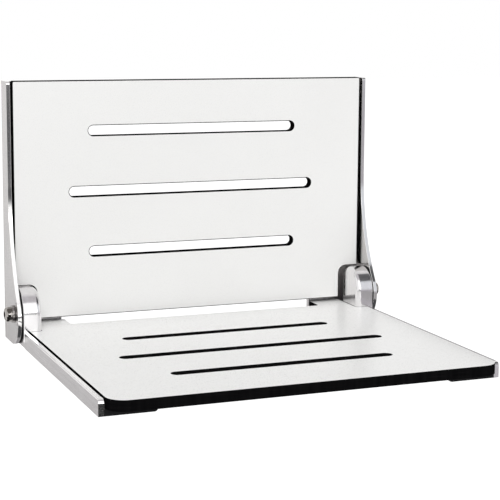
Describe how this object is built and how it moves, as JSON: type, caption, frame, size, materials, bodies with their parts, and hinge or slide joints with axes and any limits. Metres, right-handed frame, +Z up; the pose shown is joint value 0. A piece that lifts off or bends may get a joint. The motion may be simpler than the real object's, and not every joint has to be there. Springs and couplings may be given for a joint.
{
  "type": "fold-up shower seat",
  "caption": "Wall-mounted fold-up shower seat: a slotted laminate seat on aluminium rails, hinged between curved wall arms that also carry a slotted backrest.",
  "frame": {"origin": "centre of the four wall holes, on the wall plane", "axes": "+X to the right seen from the front, +Y into the wall, +Z up"},
  "size_m": [0.5226, 0.4329, 0.3323],
  "materials": {
    "laminate": "satin white decor faces on a black solid core",
    "arm_aluminium": "satin brushed",
    "rail_aluminium": "satin brushed",
    "polished_aluminium": "polished",
    "stainless": "bright stainless",
    "brass": "machined",
    "black_nylon": "moulded black",
    "black_rubber": "matt black"
  },
  "bodies": {
    "wall_frame": {"left_wall_arm": "arm_aluminium", "right_wall_arm": "arm_aluminium", "backrest_panel": "laminate", "backrest_inserts": "brass", "backrest_hanger_studs": "stainless", "left_pivot_bush": "black_nylon", "right_pivot_bush": "black_nylon", "left_stop_pad": "black_rubber", "right_stop_pad": "black_rubber", "left_friction_pad": "black_nylon", "right_friction_pad": "black_nylon"},
    "seat": {"seat_panel": "laminate", "seat_inserts": "brass", "seat_screws": "stainless", "left_seat_rail": "rail_aluminium", "right_seat_rail": "rail_aluminium", "left_rail_end_plug": "black_nylon", "right_rail_end_plug": "black_nylon", "left_hinge_knuckle": "polished_aluminium", "right_hinge_knuckle": "polished_aluminium", "knuckle_screws": "stainless", "left_pivot_bolt": "stainless", "right_pivot_bolt": "stainless", "left_pivot_washer": "stainless", "right_pivot_washer": "stainless"}
  },
  "joints": [
    {"name": "seat_fold", "type": "hinge", "parent": "wall_frame", "child": "seat", "pos_m": [0, -0.0514, -0.1257], "axis": [-1, 0, 0], "range_deg": [0, 90]}
  ]
}
